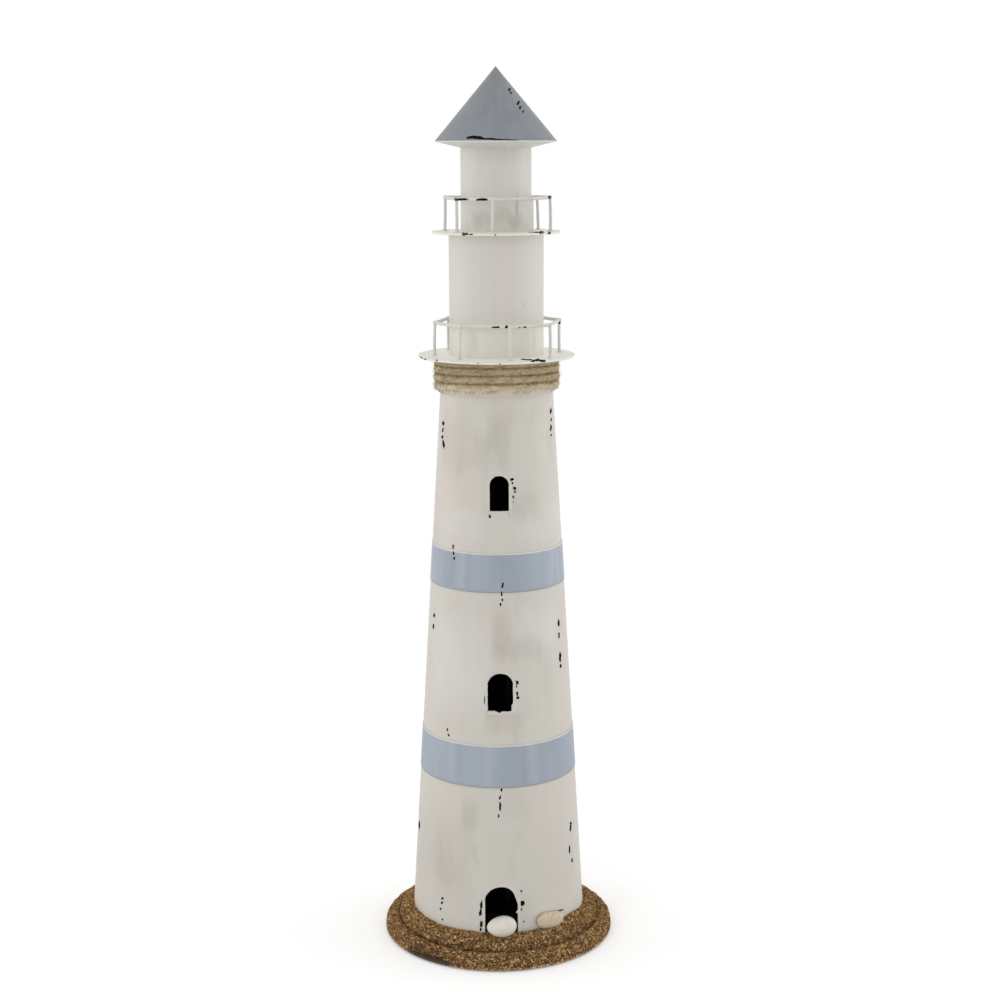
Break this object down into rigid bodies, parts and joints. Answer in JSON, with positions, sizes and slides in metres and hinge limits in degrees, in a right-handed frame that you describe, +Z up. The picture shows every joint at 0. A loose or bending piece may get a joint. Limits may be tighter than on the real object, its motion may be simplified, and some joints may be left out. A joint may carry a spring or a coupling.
{
  "type": "led lighthouse light",
  "caption": "Battery-lit metal lighthouse for a porch or garden, with sand-covered base, rope collar, railed galleries and conical roof, battery door and switch underneath",
  "frame": {"origin": "Centre of the base on the floor, under the tower's axis", "axes": "+Z up along the tower's axis, -Y out of the door, +X to the right of the door seen from the front"},
  "size_m": [0.169, 0.169, 0.6303],
  "materials": {
    "pad_foam": "soft black foam rubber",
    "plate_paint": "dark sheet steel, thin black paint",
    "sand": "coarse glued sand grains",
    "white_paint": "brushed off-white paint with black chips",
    "blue_paint": "pale grey-blue paint, worn",
    "soffit_paint": "pale grey-green paint",
    "roof_paint": "slate grey paint, matte",
    "zinc_steel": "zinc plated",
    "sisal": "hairy twisted sisal",
    "pebble": "smooth pale pebble",
    "shell": "dull natural sea shell",
    "black_plastic": "fine textured black",
    "cell_jacket": "plain printed sleeve",
    "contact_metal": "nickel plated spring steel",
    "black_paint": "matte black",
    "board": "white coated circuit board",
    "chip": "yellow light chips, unlit",
    "frosted_plastic": "frosted translucent",
    "lead_jacket": "thin insulated wire"
  },
  "bodies": {
    "lighthouse": {"foot_pads": "pad_foam", "base_plate": "plate_paint", "sand_bed": "sand", "tower_shell": "white_paint", "door_frame": "white_paint", "lower_window_frame": "white_paint", "upper_window_frame": "white_paint", "lower_band": "blue_paint", "upper_band": "blue_paint", "foot_ring": "plate_paint", "ring_screws": "zinc_steel", "ring_nuts": "zinc_steel", "neck_tube": "white_paint", "rope_collar": "sisal", "lower_gallery": "white_paint", "lower_posts": "white_paint", "lower_handrail": "white_paint", "middle_drum": "white_paint", "upper_gallery": "white_paint", "upper_posts": "white_paint", "upper_handrail": "white_paint", "lantern_drum": "white_paint", "roof_soffit": "soffit_paint", "roof_cone": "roof_paint", "doorstep_pebble": "pebble", "sea_shell": "shell", "battery_box": "black_plastic", "box_screws": "zinc_steel", "cells": "cell_jacket", "contact_plates": "contact_metal", "contact_springs": "contact_metal", "hinge_pin": "zinc_steel", "switch_body": "black_plastic", "lamp_stem": "black_paint", "light_board": "board", "light_chips": "chip", "lamp_dome": "frosted_plastic", "supply_leads": "lead_jacket"},
    "battery_door": {"battery_door": "black_plastic"},
    "switch_slider": {"switch_slider": "black_plastic"}
  },
  "joints": [
    {"name": "battery_door_hinge", "type": "hinge", "parent": "lighthouse", "child": "battery_door", "pos_m": [0, 0.03295, 0.0035], "axis": [1, 0, 0], "range_deg": [0, 95]},
    {"name": "switch_slide", "type": "slide", "parent": "lighthouse", "child": "switch_slider", "axis": [0, 1, 0], "range_m": [0, 0.004]}
  ]
}
